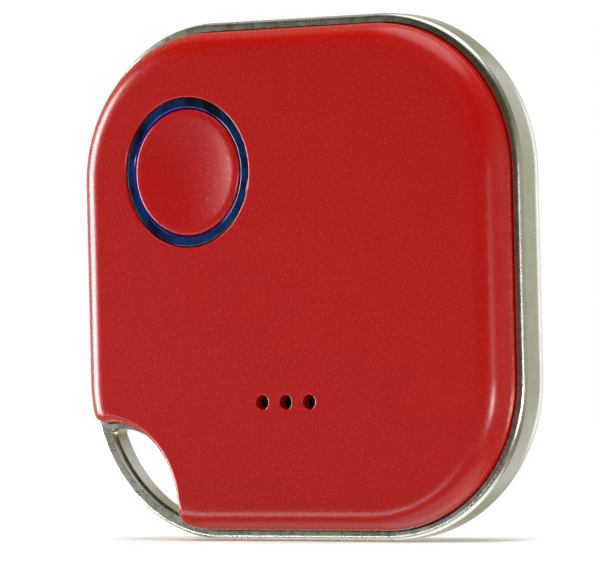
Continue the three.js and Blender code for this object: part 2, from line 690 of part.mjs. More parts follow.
function cellCan() {
  const rim = CELL_Z + CELL_THICK - CELL_CAP_RISE;
  const seat = CELL_CAP_R + CELL_SEAL;
  const floor = rim - 2 * CELL_CAP_RISE;
  return turned([
    [0, CELL_Z],
    [CELL_R - 0.4, CELL_Z],
    [CELL_R - 0.12, CELL_Z + 0.12],
    [CELL_R, CELL_Z + 0.4],
    [CELL_R, rim - 0.3],
    [CELL_R - 0.3, rim],
    [seat, rim],
    [seat, floor],
    [0, floor],
  ], CELL_CENTRE);
}

function cellSeal() {
  const rim = CELL_Z + CELL_THICK - CELL_CAP_RISE;
  const low = rim - 2 * CELL_CAP_RISE + TOUCH_GAP;
  const inner = CELL_CAP_R + TOUCH_GAP;
  const outer = CELL_CAP_R + CELL_SEAL - TOUCH_GAP;
  return turned([[inner, low], [outer, low], [outer, rim], [inner, rim], [inner, low]], CELL_CENTRE);
}

function cellCap() {
  const top = CELL_Z + CELL_THICK;
  const low = top - 3 * CELL_CAP_RISE + TOUCH_GAP;
  return turned([
    [0, low],
    [CELL_CAP_R, low],
    [CELL_CAP_R, top - CELL_CAP_RISE],
    [CELL_CAP_R - 0.1, top - 0.1],
    [CELL_CAP_R - CELL_CAP_RISE, top],
    [0, top],
  ], CELL_CENTRE);
}

addPiece("cell_holder", cellHolder(), NYLON);
addPiece("positive_contact", positiveContact(), GOLD_PLATE);
addPiece("negative_contact", negativeContact(), GOLD_PLATE);
addPiece("cell_can", cellCan(), STEEL);
addPiece("cell_seal", cellSeal(), NYLON);
addPiece("cell_cap", cellCap(), STEEL);

// ---------------------------------------------------------------- standing up

tag.rotation.x = QUARTER;

export default tag;
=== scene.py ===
# %% [markdown]
# # A tracker tag with a finger button and a key loop
#
# The tag is a small electronic product: a moulded red front cover, a plated frame that turns
# into a key loop in one corner, a pale back cover, and inside them a coin cell and a circuit
# board. This lesson dresses the measured model of the tag for a portrait. The measured model
# comes first, because every later piece has to fit it to a hundredth of a millimetre. Building
# the tag by eye would be quicker to start with, but nothing would then fit when it opens.

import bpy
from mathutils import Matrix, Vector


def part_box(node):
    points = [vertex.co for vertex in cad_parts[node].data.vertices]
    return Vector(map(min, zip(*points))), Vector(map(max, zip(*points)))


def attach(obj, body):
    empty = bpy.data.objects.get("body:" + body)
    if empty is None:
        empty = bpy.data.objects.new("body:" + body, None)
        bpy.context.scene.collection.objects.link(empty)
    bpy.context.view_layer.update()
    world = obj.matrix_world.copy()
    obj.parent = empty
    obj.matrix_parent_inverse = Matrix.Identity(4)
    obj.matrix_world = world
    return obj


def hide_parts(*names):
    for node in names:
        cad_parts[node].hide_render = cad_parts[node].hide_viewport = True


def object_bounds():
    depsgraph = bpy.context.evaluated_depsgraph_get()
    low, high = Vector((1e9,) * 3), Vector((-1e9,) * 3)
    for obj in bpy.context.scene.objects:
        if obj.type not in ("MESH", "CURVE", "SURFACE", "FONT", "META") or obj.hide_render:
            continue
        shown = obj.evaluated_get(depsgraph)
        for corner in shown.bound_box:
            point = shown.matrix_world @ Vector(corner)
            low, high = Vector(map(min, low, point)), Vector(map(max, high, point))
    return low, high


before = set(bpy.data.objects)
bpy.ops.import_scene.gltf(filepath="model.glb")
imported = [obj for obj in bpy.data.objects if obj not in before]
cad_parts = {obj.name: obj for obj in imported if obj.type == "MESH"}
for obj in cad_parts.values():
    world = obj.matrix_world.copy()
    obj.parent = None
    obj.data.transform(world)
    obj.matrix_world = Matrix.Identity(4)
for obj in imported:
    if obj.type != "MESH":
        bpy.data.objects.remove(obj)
MEASURED_BOX = [list(corner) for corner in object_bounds()]
print("measured box in metres:", MEASURED_BOX)

# %% Libraries
import math

import bmesh
import bpy
from mathutils import Matrix, Vector

# %% [markdown]
# ## Sizes
#
# All pieces are drawn in millimetres, lying on their backs: x to the right, y up the face, and
# z as the height above the back cover. One matrix stands them up and turns them to metres at
# the end. Working in millimetres keeps the numbers readable, and the cutting tool in Blender
# is happier with sizes near 1 than with sizes near 0.001.

# %% Sizes of the shells
HALF = 18.0                  # half the width of the square frame
FRAME_CORNER = 11.05         # corner radius of the frame
LIP = 0.69                   # width of frame that shows round the cover
COVER_HALF = HALF - LIP
COVER_CORNER = FRAME_CORNER - LIP
CORNER_CENTRE = HALF - FRAME_CORNER
FACE_Z = 6.0                 # height of the face above the back
SEAM_Z = 3.85                # height of the frame's front edge
WALL_Z = 5.2                 # inside of the front wall
SKIRT_Z = 2.5                # lower edge of the cover, inside the frame
COVER_WALL = 0.86            # thickness of the cover's side wall
ROUND_DEEP = 1.6             # round-over of the face, measured down the side
ROUND_IN = 1.9               # the same, measured along the face
BITE_ROUND_IN = 0.7          # the same along the bite in its corner
CUSP_R = 0.75                # rounding where the cut-out meets the outline
CUTOUT_R = 5.9               # round cut-out in the corner of the cover
LOOP_HOLE_R = 5.45           # the frame's hole follows the cut-out at this radius
LOOP_AT = Vector((-15.65, -15.65))  # centre of the cut-out and of the hole's inner side
BAR_R = FRAME_CORNER - 0.85  # inner side of the bar of the key loop
TIP_R = 0.35                 # rounding at the ends of the key loop's hole
BAR_BACK_Z = SEAM_Z - 2.0    # height of the bar's back
GROOVE_DEEP = 0.15           # the groove inside the bar, and its two edges
GROOVE_LOW_Z = 3.03
GROOVE_TOP_Z = 3.73
BACK_R = 2.0                 # round from the side of the frame to its back
EDGE_R = 0.35                # round on the frame's front edge
LIP_SLOPE = 0.13             # the frame's front slopes back by this much on its right side
LIP_SLOPE_IN = 0.95          # width of that slope
SLOPE_FROM_X = -4.0          # it starts here and is full after SLOPE_RAMP more
SLOPE_RAMP = 12.0
ROOM_GAP = 0.1               # between the cover and the frame round it
MOUTH_INSET = 1.91           # opening for the back cover
LID_INSET = 2.01             # edge of the back cover, in from the front cover's sides
LID_Z = 0.7                  # thickness of the back cover
RIM_INSET = LID_INSET + 0.3  # the back cover's rim starts here
ROOM_INSET = RIM_INSET + 0.7 # and ends here
RIM_Z = LID_Z + 1.2          # height of that rim
LID_HALF = COVER_HALF - LID_INSET
LID_EDGE = 0.2               # round on the back cover's edge
RIB_OUT = LID_HALF - 0.05    # outer and inner side of the snap ribs
RIB_IN = LID_HALF - 0.65
PRY_DEEP = 0.45              # how far the pry slot goes into the edge

# %% Sizes of the button, its light ring, the sound holes and the posts
BUTTON_AT = Vector((-7.86, 7.6))
BUTTON_R = 4.39
BUTTON_TOP = 5.95
BUTTON_EDGE = 0.2            # round on the button's edge
BUTTON_UNDER = 5.3           # top of its collar
COLLAR_R = 4.89
COLLAR_LOW = 5.08
HOLLOW_R = 3.89              # the hollow under the button
HOLLOW_Z = 5.35
DISH_R = 3.89
DISH_DEEP = 0.4
RING_OUT = 5.17
RING_IN = 4.49
RING_TOP = 5.88
RING_EDGE = 0.12             # round on both edges of the ring
RING_SHELF = 5.35            # the ring's step over the button's collar
RING_FOOT_IN = 4.99          # its foot, under the front wall
RING_FOOT_OUT = 5.97
RING_FOOT_LOW = 5.02
RING_FOOT_TOP = 5.15
RING_HOLE_R = 5.22
RING_FLARE = 0.14            # small round where a hole meets the face
SOUND_HOLE_R = 0.5
SOUND_FLARE = 0.13
SOUND_PITCH = 1.94
SOUND_Y = -8.43
POSTS = [(12.21, 12.21), (12.46, -11.51), (-13.21, 12.91), (-7.21, -13.41)]
POST_R = 0.75
POST_FOOT = 4.2              # height of the posts' melted heads, which point to the back
POST_TOP = WALL_Z + 0.06     # just inside the front wall
CELL_AT = Vector((3.06, 3.06))

# %% How finely round shapes are cut
CORNER_STEPS = 40            # steps in a quarter turn of the outline
ROUND_STEPS = 12             # steps in a round-over
TURN_STEPS = 160             # steps round the button, the ring and the cell
PIN_STEPS = 48               # steps round small holes and posts
REST_STEPS = 8               # steps in what is left of a corner beside the bite
CUSP_STEPS = 14              # steps round each cusp of the bite
TIP_STEPS = 10               # steps round each end of the key loop's hole
BOX_STEPS = 4                # steps round the edges of small boxes
EDGE_STEPS = 6               # steps over the edges of the button and the ring
FLARE_STEPS = 8              # steps where a hole meets the face
DISH_STEPS = 24              # steps across the finger dish
QUARTER = math.pi / 2
SHORT_ARC = 0.02             # the least that is left of a corner beside the bite, in radians
MM = 0.001
# from drawing millimetres, lying down, to metres, standing up
STAND_UP = Matrix(((MM, 0, 0, 0), (0, 0, -MM, 0), (0, MM, 0, 0), (0, 0, 0, 1)))

# %% [markdown]
# ## Outlines
#
# Seen from the front, the frame is a square with large round corners, and the cover is the
# same shape with a bite taken out of one corner for the key loop. An outline could be drawn as
# a curve and filled, but a list of points from a few arcs has a big advantage: the same list,
# moved inwards step by step, gives every round-over and every inner wall, with its points in
# matching order.


# %% Arcs and the points where they meet
def arc(centre, radius, start, end, steps):
    """Points on a circle arc from the angle start to the angle end, both included."""
    angles = [start + (end - start) * step / steps for step in range(steps + 1)]
    return [centre + radius * Vector((math.cos(angle), math.sin(angle))) for angle in angles]


def crossing(c1, r1, c2, r2):
    """The upper of the two points at the distance r1 from c1 and r2 from c2."""
    along = (c2 - c1).normalized()
    distance = (c2 - c1).length
    reach = (distance ** 2 + r1 ** 2 - r2 ** 2) / (2 * distance)
    rise = math.sqrt(r1 ** 2 - reach ** 2)
    return c1 + along * reach + Vector((along.y, -along.x)) * rise


def bearing(start, end):
    """The direction from one point to another, between 0 and a full turn."""
    return math.atan2(end.y - start.y, end.x - start.x) % (2 * math.pi)


def mirrored(point):
    """The same point on the other side of the diagonal through the key loop."""
    return Vector((point.y, point.x))


def flipped(angle):
    """The same direction on the other side of that diagonal."""
    return 5 * QUARTER - angle


# %% Outlines of the frame and the cover
def corner_at(right, up):
    return Vector((right, up)) * CORNER_CENTRE


def three_corners(radius):
    """The lower right, upper right and upper left corners."""
    return (
        arc(corner_at(1, -1), radius, -QUARTER, 0, CORNER_STEPS)
        + arc(corner_at(1, 1), radius, 0, QUARTER, CORNER_STEPS)
        + arc(corner_at(-1, 1), radius, QUARTER, 2 * QUARTER, CORNER_STEPS)
    )


def frame_outline(inset):
    radius = FRAME_CORNER - inset
    last = arc(corner_at(-1, -1), radius, 2 * QUARTER, 3 * QUARTER, CORNER_STEPS)
    return three_corners(radius) + last


def cover_outline(inset, bite_inset=None):
    """The cover's outline with the bite in its corner, its sides and its bite moved inwards."""
    radius = COVER_CORNER - inset
    bite = CUTOUT_R + (inset if bite_inset is None else bite_inset)
    middle = corner_at(-1, -1)
    cusp = crossing(middle, radius - CUSP_R, LOOP_AT, bite + CUSP_R)
    leave = bearing(middle, cusp)
    start = min(2 * QUARTER, leave - SHORT_ARC)
    enter = bearing(cusp, LOOP_AT)
    sweep = bearing(LOOP_AT, cusp)
    return (
        three_corners(radius)
        + arc(middle, radius, start, leave, REST_STEPS)
        + arc(cusp, CUSP_R, leave, enter, CUSP_STEPS)[1:]
        + arc(LOOP_AT, bite, sweep, QUARTER - sweep, CORNER_STEPS)[1:]
        + arc(mirrored(cusp), CUSP_R, flipped(enter), flipped(leave), CUSP_STEPS)[1:]
        + arc(middle, radius, flipped(leave), flipped(start), REST_STEPS)[1:]
    )


# %% Outlines of the key loop
def loop_tip(bar):
    """The centre of the rounding at one end of the hole; bar is its outer side's radius."""
    return crossing(corner_at(-1, -1), bar - TIP_R, LOOP_AT, LOOP_HOLE_R - TIP_R)


def loop_hole(wider):
    """The lens-shaped hole; wider moves its outer side into the bar, for the groove."""
    middle = corner_at(-1, -1)
    bar = BAR_R + wider
    tip = loop_tip(bar)
    start = bearing(middle, tip)
    sweep = bearing(LOOP_AT, tip)
    return (
        arc(middle, bar, start, flipped(start), CORNER_STEPS)
        + arc(mirrored(tip), TIP_R, flipped(start), flipped(sweep), TIP_STEPS)[1:]
        + arc(LOOP_AT, LOOP_HOLE_R, QUARTER - sweep, sweep, CORNER_STEPS)[1:]
        + arc(tip, TIP_R, sweep, start, TIP_STEPS)[1:-1]
    )


def loop_corner():
    """Everything outside the bite, in the loop's corner: what is missing behind the bar."""
    sweep = bearing(LOOP_AT, loop_tip(BAR_R))
    beyond = QUARTER / 2
    return (
        arc(LOOP_AT, LOOP_HOLE_R, QUARTER - sweep - beyond, QUARTER - sweep, REST_STEPS)
        + arc(LOOP_AT, LOOP_HOLE_R, QUARTER - sweep, sweep, CORNER_STEPS)[1:]
        + arc(LOOP_AT, LOOP_HOLE_R, sweep, sweep + beyond, REST_STEPS)[1:]
        + [LOOP_AT * 1.5]
    )


print("cover outline:", len(cover_outline(0)), "points; loop hole:", len(loop_hole(0)), "points")

# %% [markdown]
# ## Lofting, turning and cutting
#
# Three ways of making a solid are enough for this tag. Lofting joins outlines at different
# heights, which suits a moulded shell. Turning spins a profile round an axis, which suits the
# button, the ring and the cell. Cutting takes one solid away from another, as a mould core
# does. A bevel tool could round the edges afterwards, but it guesses; here each rounding is
# part of the profile, so its size is known.


# %% Lofted solids
def as_object(name, shape):
    """Closes a bmesh into an object with its faces looking outwards."""
    bmesh.ops.recalc_face_normals(shape, faces=shape.faces)
    mesh = bpy.data.meshes.new(name)
    shape.to_mesh(mesh)
    shape.free()
    piece = bpy.data.objects.new(name, mesh)
    bpy.context.scene.collection.objects.link(piece)
    return piece


def add_sides(shape, lower, upper):
    """Faces between two rings of points; a ring of one point is a tip on the axis."""
    count = max(len(lower), len(upper))
    for side in range(count):
        after = (side + 1) % count
        corners = [lower[side % len(lower)], lower[after % len(lower)],
                   upper[after % len(upper)], upper[side % len(upper)]]
        shape.faces.new(list(dict.fromkeys(corners)))


def lofted(name, levels):
    """A closed solid through a pile of levels, each a list of (x, y, z) points."""
    shape = bmesh.new()
    rings = [[shape.verts.new(point) for point in level] for level in levels]
    for lower, upper in zip(rings, rings[1:]):
        add_sides(shape, lower, upper)
    shape.faces.new(rings[0])
    shape.faces.new(rings[-1])
    return as_object(name, shape)


def levels_of(outline, pairs):
    """Levels for lofted() from an outline and its (inset, height) pairs."""
    return [[(point.x, point.y, z) for point in outline(inset)] for inset, z in pairs]


def pulled(name, points, low, high):
    """An outline pulled straight up from low to high."""
    return lofted(name, [[(point.x, point.y, z) for point in points] for z in (low, high)])


def quarter_round(inset, across, z0, z1):
    """(inset, height) pairs of a rounding, from its edge at z0 to its flat at z1."""
    turns = [QUARTER * step / ROUND_STEPS for step in range(ROUND_STEPS + 1)]
    return [(inset + across * (1 - math.cos(turn)), z0 + (z1 - z0) * math.sin(turn))
            for turn in turns]


# %% Turned solids and boxes
def turned(name, centre, profile, steps=TURN_STEPS):
    """A profile of (radius, height) pairs turned round an axis; a closed profile makes a ring."""
    shape = bmesh.new()
    rings = []
    for radius, z in profile:
        if radius == 0:
            rings.append([shape.verts.new((centre.x, centre.y, z))])
        elif rings and (radius, z) == tuple(profile[0]):
            rings.append(rings[0])
        else:
            circle = arc(centre, radius, 0, 4 * QUARTER, steps)[:-1]
            rings.append([shape.verts.new((point.x, point.y, z)) for point in circle])
    for lower, upper in zip(rings, rings[1:]):
        add_sides(shape, lower, upper)
    return as_object(name, shape)


def soft_box(name, low, high, edge):
    """A box between two corners, its upright edges and its far end slightly rounded."""
    x0, y0, z0 = low
    x1, y1, z1 = high
    levels = []
    for inset, z in ((0, z1), (0, z0 + edge), (edge * 0.3, z0 + edge * 0.3), (edge, z0)):
        outline = []
        for x, y, turn in ((x1, y0, 3), (x1, y1, 0), (x0, y1, 1), (x0, y0, 2)):
            inwards = Vector(((x0 + x1) / 2 - x, (y0 + y1) / 2 - y))
            centre = Vector((x + math.copysign(edge + inset, inwards.x),
                             y + math.copysign(edge + inset, inwards.y)))
            outline += arc(centre, edge, turn * QUARTER, (turn + 1) * QUARTER, BOX_STEPS)
        levels.append([(point.x, point.y, z) for point in outline])
    return lofted(name, levels)


# %% Cutting and joining
def combined(piece, tools, operation):
    """The piece with every tool cut away (DIFFERENCE) or joined on (UNION)."""
    for tool in tools:
        step = piece.modifiers.new("carve", "BOOLEAN")
        step.operation = operation
        step.solver = "EXACT"
        step.object = tool
        evaluated = piece.evaluated_get(bpy.context.evaluated_depsgraph_get())
        mesh = bpy.data.meshes.new_from_object(evaluated)
        piece.modifiers.clear()
        piece.data = mesh
        bpy.data.objects.remove(tool)
    return piece


def merged(name, pieces):
    """Several separate solids kept as one object."""
    shape = bmesh.new()
    for piece in pieces:
        shape.from_mesh(piece.data)
        bpy.data.objects.remove(piece)
    return as_object(name, shape)


# %% [markdown]
# ## Finishes, made of nodes
#
# Each finish is a small network of nodes feeding one Principled shader. One helper adds a
# node with its settings and its links. Colours are written as the hex values of a paint
# chart, so one function turns them into the linear light values that the shader counts in.
# Patterns are given in millimetres, the size of one grain, and turned into the scale that a
# noise node wants. Speckle is a noise between two values, clouds are a noise between two
# colours, and texture is a noise that tilts the surface. Picture textures would be another
# way, but a pattern made of nodes stays sharp at any distance and weighs nothing.


# %% Helpers for finishes
def add_node(tree, kind, settings, links=()):
    """One node: settings are its own options or the values of its sockets."""
    made = tree.nodes.new(kind)
    for key, value in dict(settings).items():
        if isinstance(key, int) or key in made.inputs:
            made.inputs[key].default_value = value
        else:
            setattr(made, key, value)
    for key, source in dict(links).items():
        tree.links.new(source, made.inputs[key])
    return made


def linear(hex_colour):
    """An sRGB hex colour as linear red, green, blue and alpha."""
    parts = [int(hex_colour[place:place + 2], 16) / 255 for place in (1, 3, 5)]
    return [part / 12.92 if part <= 0.04045 else ((part + 0.055) / 1.055) ** 2.4
            for part in parts] + [1.0]


def grain(size_mm):
    """The scale of a noise whose bumps are about size_mm across."""
    return 1 / (size_mm * MM)


def new_finish(name):
    """An empty finish: its tree and the coordinates that stick to the piece."""
    finish = bpy.data.materials.new(name)
    finish.use_nodes = True
    finish.node_tree.nodes.clear()
    where = add_node(finish.node_tree, "ShaderNodeTexCoord", {})
    return finish, finish.node_tree, where.outputs["Object"]


def speckle(tree, where, size_mm, detail, low, high, contrast=0.25):
    """A noise with grains of size_mm that runs from the value low to the value high."""
    noise = add_node(tree, "ShaderNodeTexNoise", {"Scale": grain(size_mm), "Detail": detail},
                     {"Vector": where})
    spread = {"From Min": 0.5 - contrast, "From Max": 0.5 + contrast, "To Min": low, "To Max": high}
    return add_node(tree, "ShaderNodeMapRange", spread, {"Value": noise.outputs["Fac"]}).outputs[0]


def clouds(tree, where, size_mm, detail, first, second, contrast=0.25):
    """Two close colours that run into each other in soft clouds of size_mm."""
    share = speckle(tree, where, size_mm, detail, 0.0, 1.0, contrast)
    settings = {"data_type": "RGBA", 6: linear(first), 7: linear(second)}
    return add_node(tree, "ShaderNodeMix", settings, {0: share}).outputs[2]


def texture(tree, where, size_mm, detail, depth_mm, strength, contrast=0.25):
    """The surface direction over a fine relief, its grains size_mm across and depth_mm deep."""
    height = speckle(tree, where, size_mm, detail, 0.0, 1.0, contrast)
    settings = {"Strength": strength, "Distance": depth_mm * MM}
    return add_node(tree, "ShaderNodeBump", settings, {"Height": height}).outputs[0]


def finish_off(tree, settings, links):
    """The shader and the output that end a finish."""
    shader = add_node(tree, "ShaderNodeBsdfPrincipled", settings, links)
    add_node(tree, "ShaderNodeOutputMaterial", {}, {"Surface": shader.outputs[0]})


# %% [markdown]
# ## Red ABS with a spark-eroded texture
#
# The front cover and the button are moulded in red ABS. The mould was finished by spark
# erosion, which leaves tiny pits. Each pit tilts the surface a little, so a highlight breaks
# up into glittering grains while the flat face stays one deep, even red. A rough shader alone
# would give a smooth milky highlight, so the pits are made as a fine bump. Real pits are
# about 0.05 mm; they are drawn at 0.11 mm so that they still show in a picture of the whole
# tag.

# %% Red ABS, spark-eroded
red_abs, tree, where = new_finish("abs_spark_eroded_red")
finish_off(
    tree,
    {"IOR": 1.53, "Specular IOR Level": 0.36},
    {"Base Color": clouds(tree, where, 2.5, 3.0, "#ac0906", "#af0a07"),
     "Roughness": speckle(tree, where, 0.2, 2.0, 0.20, 0.30),
     "Normal": texture(tree, where, 0.11, 2.0, 0.0026, 0.8, 0.42)},
)
print("finish:", red_abs.name)

# %% [markdown]
# ## Satin nickel plate
#
# The frame is cast, tumbled smooth, and plated with satin nickel. Nickel is a slightly warm
# grey metal. The satin bath leaves a very fine, even grain that blurs reflections without
# hiding them, so the frame looks dark where the room is dark and nearly white along its
# rounded edges. The blur is the roughness; the grain is a faint bump 0.1 mm across.

# %% Satin nickel
satin_nickel, tree, where = new_finish("satin_nickel_plate")
finish_off(
    tree,
    {"Metallic": 1.0},
    {"Base Color": clouds(tree, where, 1.6, 2.0, "#cccbc2", "#d2d1c9"),
     "Roughness": speckle(tree, where, 0.6, 3.0, 0.24, 0.32),
     "Normal": texture(tree, where, 0.1, 2.0, 0.0018, 0.6)},
)
print("finish:", satin_nickel.name)

# %% [markdown]
# ## Dark blue polycarbonate
#
# The light ring is clear polycarbonate with a dark blue dye, so that it looks black until the
# lamps behind it shine. Light goes a little way in and comes out blue at the edges. Glass
# settings with a strong colour would do that, but they need many light paths to look clean.
# A glossy dark blue skin over clouds of dye, whose lighter patches are painted light that
# comes back out, gives the same look with less noise. The brighter blue at the inner edge is
# a painted glow, which follows the distance from the button's axis.

# %% Dark blue polycarbonate
blue_pc, tree, where = new_finish("polycarbonate_dyed_dark_blue")
stood = (BUTTON_AT.x * MM, 0, BUTTON_AT.y * MM)
from_axis = add_node(tree, "ShaderNodeVectorMath", {"operation": "SUBTRACT", 1: stood}, {0: where})
flat = add_node(tree, "ShaderNodeVectorMath", {"operation": "MULTIPLY", 1: (1, 0, 1)},
                {0: from_axis.outputs[0]})
radius = add_node(tree, "ShaderNodeVectorMath", {"operation": "LENGTH"}, {0: flat.outputs[0]})
# painted glow: the inner edge is painted a brighter blue, in place of light coming out there
painted_edge_glow = add_node(
    tree, "ShaderNodeMapRange",
    {"From Min": (RING_IN + 0.10) * MM, "From Max": (RING_IN + 0.02) * MM},
    {"Value": radius.outputs["Value"]},
)
# clouds of dye whose lighter patches are painted light scattered back out of the ring
dye_and_painted_glow = clouds(tree, where, 1.8, 2.0, "#000205", "#032f62", 0.14)
blue = add_node(tree, "ShaderNodeMix", {"data_type": "RGBA", 7: linear("#0a22c8")},
                {0: painted_edge_glow.outputs[0], 6: dye_and_painted_glow})
finish_off(
    tree,
    {"IOR": 1.58, "Coat Weight": 0.5, "Coat Roughness": 0.03},
    {"Base Color": blue.outputs[2],
     "Roughness": speckle(tree, where, 0.4, 2.0, 0.07, 0.14),
     "Normal": texture(tree, where, 0.9, 1.0, 0.004, 0.5)},
)
print("finish:", blue_pc.name)

# %% [markdown]
# ## Pale ABS
#
# The back cover is moulded in off-white ABS with a finer, matt texture, because a hand holds
# it. It has slight clouds of tone from the flow of the plastic in the mould.

# %% Pale ABS, fine matt
pale_abs, tree, where = new_finish("abs_fine_matt_off_white")
finish_off(
    tree,
    {"IOR": 1.53},
    {"Base Color": clouds(tree, where, 4.0, 3.0, "#e6e3da", "#e9e7df"),
     "Roughness": speckle(tree, where, 0.3, 2.0, 0.46, 0.58),
     "Normal": texture(tree, where, 0.12, 2.0, 0.006, 0.6)},
)
print("finish:", pale_abs.name)

# %% [markdown]
# ## The finishes inside
#
# Inside the tag are the usual materials of a small circuit: green solder mask over glass
# cloth, black epoxy chips, fired ceramic, tinned steel, gold-plated spring leaf, foam, nylon
# and bright solder. They differ in three numbers and a grain, so one table makes them all.
# For each: two close colours, how metallic, the roughness from and to, the grain in
# millimetres, and the depth of the bump.

# %% Table of inner finishes
INNER_FINISHES = {
    # matt epoxy mask over glass cloth, whose weave prints through as a soft 0.6 mm ripple
    "solder_mask_green": ("#0f3f25", "#155033", 0.0, 0.30, 0.42, 0.6, 0.006),
    # moulded epoxy: dead black with a fine sandy texture
    "moulded_epoxy_black": ("#17171a", "#202024", 0.0, 0.50, 0.65, 0.12, 0.006),
    # glass-filled nylon: charcoal, slightly streaky
    "glass_filled_nylon": ("#2d2d33", "#3a3a42", 0.0, 0.45, 0.60, 0.5, 0.006),
    # fired ceramic: sandy brown, chalky
    "fired_ceramic": ("#a88a62", "#bb9f78", 0.0, 0.45, 0.60, 0.2, 0.004),
    # stamped stainless steel, rolled to a soft shine
    "rolled_stainless": ("#bcbec1", "#cbcdcf", 1.0, 0.22, 0.34, 0.25, 0.002),
    # tin-plated solder joints: bright, lumpy silver
    "bright_solder": ("#c4c7ca", "#d8dadc", 1.0, 0.18, 0.30, 0.3, 0.010),
    # gold flash over spring bronze
    "gold_flash": ("#d8ad62", "#e3bd78", 1.0, 0.20, 0.30, 0.3, 0.002),
    # closed-cell foam: black with open pores that catch no light
    "closed_cell_foam": ("#141414", "#262626", 0.0, 0.85, 0.95, 0.25, 0.030),
    # white epoxy of the lamps, milky and a little glossy
    "milky_epoxy": ("#e6e2cf", "#f2efdf", 0.0, 0.25, 0.35, 0.2, 0.003),
}


def inner_finish(name, first, second, metallic, smooth, rough, size_mm, depth_mm):
    """One row of the table made into a finish."""
    finish, tree, where = new_finish(name)
    finish_off(
        tree,
        {"Metallic": metallic},
        {"Base Color": clouds(tree, where, size_mm * 4, 3.0, first, second),
         "Roughness": speckle(tree, where, size_mm * 2, 2.0, smooth, rough),
         "Normal": texture(tree, where, size_mm, 2.0, depth_mm, 0.6)},
    )
    return finish


inner = {name: inner_finish(name, *row) for name, row in INNER_FINISHES.items()}
print("inner finishes:", ", ".join(inner))

# %% [markdown]
# ## Turning a shape into a finished piece
#
# A drawn shape becomes a piece of the tag in four steps: it is stood up and scaled to metres,
# its faces are shaded smooth except across real edges, it gets its finish, and it is tied to
# the body that it moves with. The weighted-normal modifier keeps large flat faces truly flat
# where they run into a rounding.


# %% Finishing a piece
def finished(piece, material, body, stands_for=()):
    """Stands the piece up, shades it, and ties it to its body."""
    piece.data.transform(STAND_UP)
    piece.data.materials.clear()
    piece.data.materials.append(material)
    piece.data.polygons.foreach_set("use_smooth", [True] * len(piece.data.polygons))
    piece.data.set_sharp_from_angle(angle=math.radians(28))
    even = piece.modifiers.new("even_shading", "WEIGHTED_NORMAL")
    even.keep_sharp = True
    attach(piece, body)
    if stands_for:
        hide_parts(*stands_for)
    print(f"{piece.name}: {len(piece.data.polygons)} faces on {body}")
    return piece


# %% [markdown]
# ## The front cover
#
# The front cover is a thin moulded shell: a face, a rounded shoulder and a skirt that reaches
# down inside the frame. The shoulder is broad along the sides, so that the tag slides into a
# pocket, and much tighter along the bite for the key loop. A bevel tool would need one width
# for both, so here each level of the shoulder is an outline whose sides move inwards by one
# amount and whose bite by another.


# %% Shoulder of the cover
def shoulder_levels():
    """Levels of the shoulder, from the top of the side wall to the face."""
    levels = []
    for step in range(2 * ROUND_STEPS + 1):
        turn = QUARTER * step / (2 * ROUND_STEPS)
        shift = 1 - math.cos(turn)
        z = FACE_Z - ROUND_DEEP + ROUND_DEEP * math.sin(turn)
        points = cover_outline(ROUND_IN * shift, BITE_ROUND_IN * shift)
        levels.append([(point.x, point.y, z) for point in points])
    return levels


cover = lofted("cover_shell", levels_of(cover_outline, [(0, SKIRT_Z)]) + shoulder_levels())
INNER_ROUND = ROUND_DEEP - (FACE_Z - WALL_Z)
room = lofted("cover_room", levels_of(cover_outline, [
    (COVER_WALL, SKIRT_Z - 1),
    *quarter_round(COVER_WALL, INNER_ROUND, WALL_Z - INNER_ROUND, WALL_Z),
]))
cover = combined(cover, [room], "DIFFERENCE")
print("hollow cover:", len(cover.data.polygons), "faces")

# %% [markdown]
# ## Holes in the face
#
# The light ring stands in a large round hole, and three small holes let the sound out. A
# moulded hole never has a knife edge: the steel pin that makes it leaves a small radius
# where it meets the face. So the cutters flare at the top, which gives each hole a fine
# rounded rim that catches a thin line of light.


# %% Cutters with a flare
def flared_cutter(name, centre, radius, flare, steps):
    """A pin from inside the wall to above the face, flaring at the face."""
    low = WALL_Z - 1.5
    high = FACE_Z + 1
    profile = [(0, low), (radius, low)]
    for step in range(FLARE_STEPS + 1):
        turn = QUARTER * step / FLARE_STEPS
        profile.append((radius + flare * (1 - math.cos(turn)), FACE_Z - flare * (1 - math.sin(turn))))
    profile += [(radius + flare, high), (0, high)]
    return turned(name, centre, profile, steps)


def post(centre):
    """A melted post that holds the board: a pin with a mushroom head."""
    head = [(0, 0.35), (0.55, 0.35), (0.9, 0.29), (1.06, 0.18), (1.1, 0.08), (1.1, 0), (POST_R, 0)]
    profile = [(radius, POST_FOOT - below) for radius, below in head]
    profile += [(POST_R, POST_TOP), (0, POST_TOP)]
    return turned("post", Vector(centre), profile, PIN_STEPS)


cover = combined(cover, [post(centre) for centre in POSTS], "UNION")
holes = [flared_cutter("ring_hole", BUTTON_AT, RING_HOLE_R, RING_FLARE, TURN_STEPS)]
for place in (-1, 0, 1):
    centre = Vector((place * SOUND_PITCH, SOUND_Y))
    holes.append(flared_cutter("sound_hole", centre, SOUND_HOLE_R, SOUND_FLARE, PIN_STEPS))
cover = combined(cover, holes, "DIFFERENCE")
cover.name = "front_cover_moulded"
finished(cover, red_abs, "case", ["front_cover"])

# %% [markdown]
# ## The frame and its key loop
#
# The frame is one metal casting: a band with a soft round towards the back and a small crisp
# edge at the front. In one corner the band runs on as a thin bar across a hole: that is the
# loop for a key ring. It is carved the way that a machinist would: first the whole block,
# then the room for the cover, the mouth for the back cover, the hole, a shallow groove
# inside the bar, and the space behind the bar.

# %% Frame
def back_first(levels):
    """The same levels or points, in reverse."""
    return list(reversed(levels))


